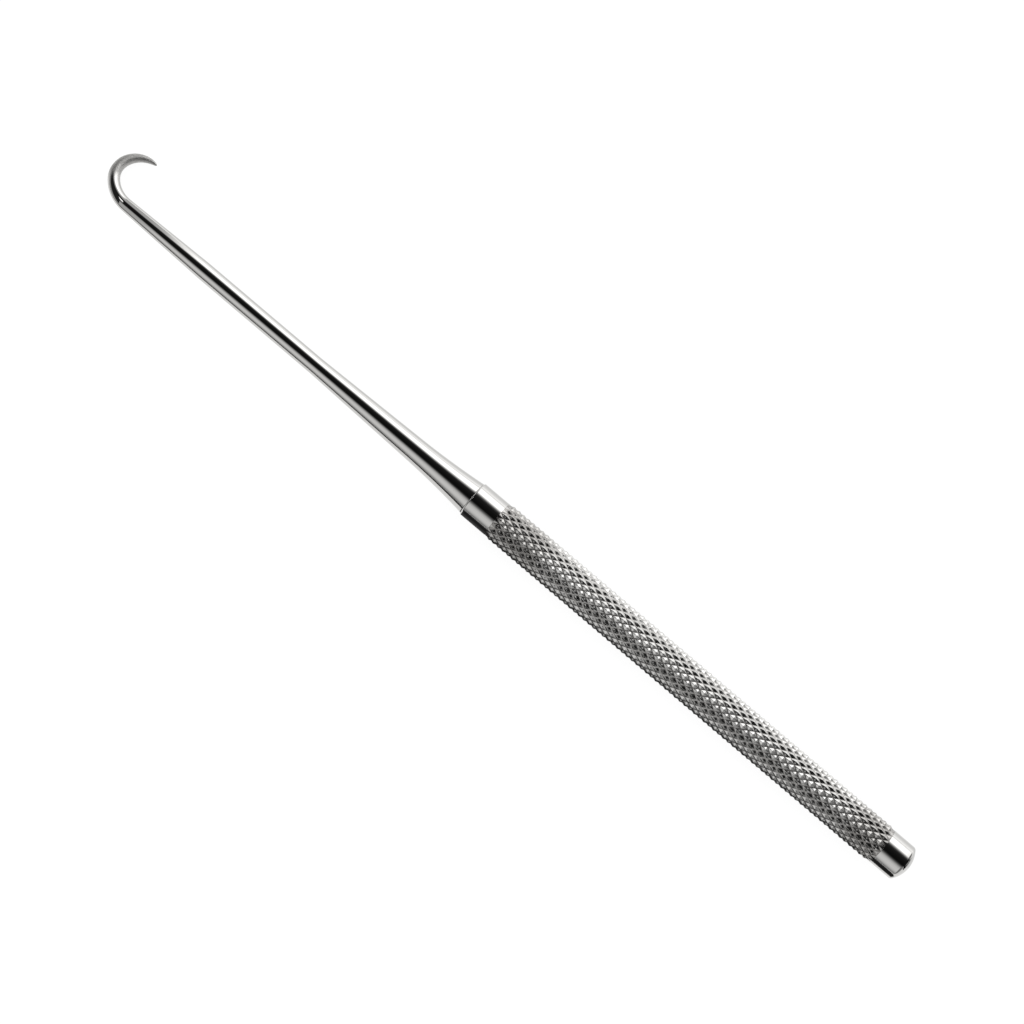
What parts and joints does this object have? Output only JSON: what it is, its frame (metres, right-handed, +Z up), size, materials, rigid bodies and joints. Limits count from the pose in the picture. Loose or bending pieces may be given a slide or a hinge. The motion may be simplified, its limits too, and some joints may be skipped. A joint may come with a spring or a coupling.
{
  "type": "skin hook",
  "caption": "Surgical skin hook with one sharp curled prong on a slender polished shank, fixed in a round handle with a diamond knurl, for lifting and holding back the edge of a wound.",
  "frame": {"origin": "middle of the instrument's box, on the table that it lies on", "axes": "+X along the instrument from the hook to the tail, +Y to the side that the prong curls to, +Z up from the table"},
  "size_m": [0.165, 0.0117, 0.0065],
  "materials": {
    "polished_steel": "mirror-polished surgical stainless steel",
    "knurled_steel": "polished surgical stainless steel with a rolled diamond knurl"
  },
  "bodies": {
    "root": {"hook_shank": "polished_steel", "handle": "knurled_steel"}
  },
  "joints": []
}
